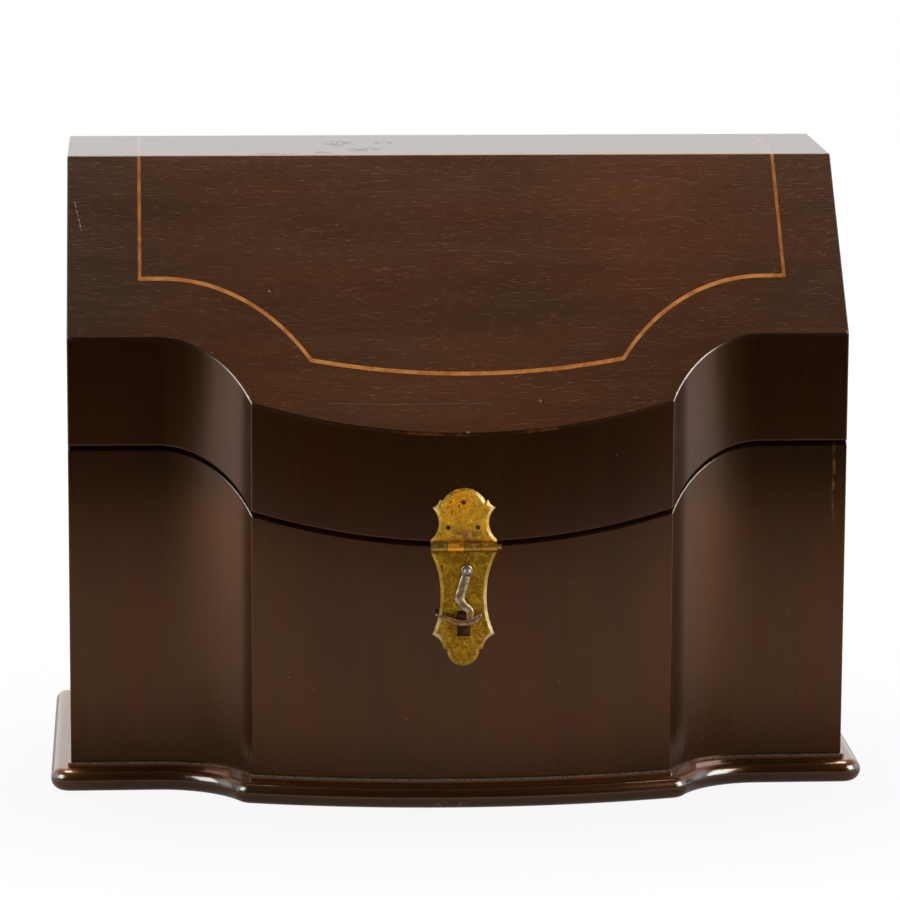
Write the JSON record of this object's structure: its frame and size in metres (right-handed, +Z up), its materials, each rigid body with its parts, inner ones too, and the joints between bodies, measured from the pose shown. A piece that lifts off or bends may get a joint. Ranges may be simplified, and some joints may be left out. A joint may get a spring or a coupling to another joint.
{
  "type": "antique knife box",
  "caption": "Sloping-lid mahogany knife box with a serpentine bow front, inlaid line, hinged lid, brass hasp with slotted leaf, turning hook and staple.",
  "frame": {"origin": "middle of the underside, halfway between the flat part of the front and the back", "axes": "+X to the right as seen from the front, +Y from the front to the back, +Z up"},
  "size_m": [0.4006, 0.2077, 0.303],
  "materials": {
    "body_wood": "french polished mahogany, upright grain",
    "side_wood": "french polished mahogany",
    "back_wood": "plain mahogany, thinly polished",
    "skirt_wood": "french polished mahogany, upright grain",
    "slope_wood": "french polished mahogany, grain across",
    "top_wood": "french polished mahogany, worn",
    "moulding_wood": "french polished mahogany",
    "inner_wood": "unpolished pine",
    "board_wood": "waxed mahogany",
    "stringing": "darkened boxwood",
    "hasp_brass": "aged and rubbed",
    "hook_metal": "dull, greyed",
    "staple_brass": "dull, browned",
    "hinge_brass": "dull",
    "pin_steel": "plain",
    "screw_steel": "plain"
  },
  "bodies": {
    "case": {"case_front_left": "body_wood", "case_front_bow": "body_wood", "case_front_right": "body_wood", "case_left_side": "side_wood", "case_right_side": "side_wood", "case_back": "back_wood", "case_bottom": "inner_wood", "base_moulding_front": "moulding_wood", "base_moulding_left": "moulding_wood", "base_moulding_right": "moulding_wood", "knife_board": "board_wood", "board_bearer_left": "inner_wood", "board_bearer_right": "inner_wood", "staple": "staple_brass", "hinge_left_case_leaf": "hinge_brass", "hinge_right_case_leaf": "hinge_brass", "hinge_left_pin": "pin_steel", "hinge_right_pin": "pin_steel", "hinge_case_screws": "screw_steel"},
    "lid": {"lid_front_left": "skirt_wood", "lid_front_bow": "skirt_wood", "lid_front_right": "skirt_wood", "lid_left_side": "side_wood", "lid_right_side": "side_wood", "lid_back": "back_wood", "lid_slope_board": "inner_wood", "lid_top_board": "inner_wood", "slope_veneer": "slope_wood", "top_veneer": "top_wood", "slope_stringing": "stringing", "top_stringing": "stringing", "hinge_left_lid_leaf": "hinge_brass", "hinge_right_lid_leaf": "hinge_brass", "hinge_lid_screws": "screw_steel", "hasp_plate": "hasp_brass", "hasp_nails": "hasp_brass", "hasp_pin": "pin_steel"},
    "hasp_leaf": {"hasp_leaf": "hasp_brass", "hook_rivet": "hook_metal", "hook_washer": "hasp_brass"},
    "hook": {"hook": "hook_metal"}
  },
  "joints": [
    {"name": "lid_hinge", "type": "hinge", "parent": "case", "child": "lid", "pos_m": [0, 0.0762, 0.2478], "axis": [-1, 0, 0], "range_deg": [0, 99]},
    {"name": "hasp_hinge", "type": "hinge", "parent": "lid", "child": "hasp_leaf", "pos_m": [-0.0004, -0.1216, 0.1286], "axis": [-1, 0, 0], "range_deg": [0, 150]},
    {"name": "hook_pivot", "type": "hinge", "parent": "hasp_leaf", "child": "hook", "pos_m": [0.001, -0.1216, 0.1171], "axis": [0, -1, 0], "range_deg": [0, 100]}
  ]
}
